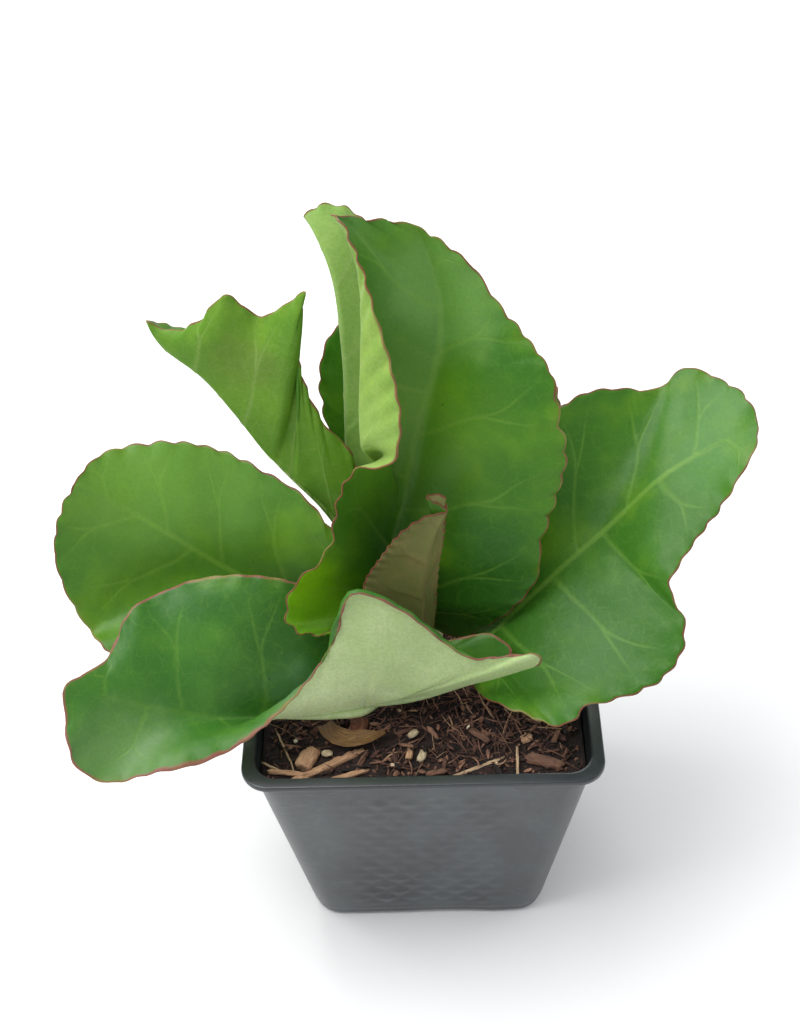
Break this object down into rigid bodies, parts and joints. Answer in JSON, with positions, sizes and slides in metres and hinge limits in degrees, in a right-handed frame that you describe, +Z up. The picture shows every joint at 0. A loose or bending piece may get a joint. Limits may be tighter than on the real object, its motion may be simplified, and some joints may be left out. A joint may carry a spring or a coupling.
{
  "type": "potted bergenia",
  "caption": "Young bergenia with broad, leathery, folded and cupped leaves, growing from a short crown in a square black plastic nursery pot of bark potting mix.",
  "frame": {"origin": "middle of the pot's flat underside", "axes": "+Z up, +Y towards the back of the plant, +X to the plant's right as seen from the front"},
  "size_m": [0.2079, 0.1295, 0.2305],
  "materials": {
    "pot": "moulded black plastic",
    "soil": "bark and peat potting mix",
    "crown": "scarred rhizome skin",
    "leaf_tall": "glossy living leaf",
    "leaf_pale": "pale leaf underside",
    "leaf_back": "glossy living leaf",
    "leaf_upper_left": "pale leaf underside",
    "leaf_right": "glossy living leaf",
    "leaf_left": "glossy living leaf",
    "leaf_front": "glossy living leaf",
    "leaf_young": "young bronze leaf",
    "dead_sheath": "dry amber leaf base",
    "bark_chip": "striped bark",
    "brown_chip": "brown bark",
    "splinter_long": "split wood",
    "splinter_short": "split wood",
    "straw": "dry straw"
  },
  "bodies": {
    "root": {"pot": "pot", "soil": "soil", "crown": "crown", "leaf_tall": "leaf_tall", "leaf_pale": "leaf_pale", "leaf_back": "leaf_back", "leaf_upper_left": "leaf_upper_left", "leaf_right": "leaf_right", "leaf_left": "leaf_left", "leaf_front": "leaf_front", "leaf_young": "leaf_young", "dead_sheath": "dead_sheath", "bark_chip": "bark_chip", "brown_chip": "brown_chip", "splinter_long": "splinter_long", "splinter_short": "splinter_short", "straw": "straw"}
  },
  "joints": []
}
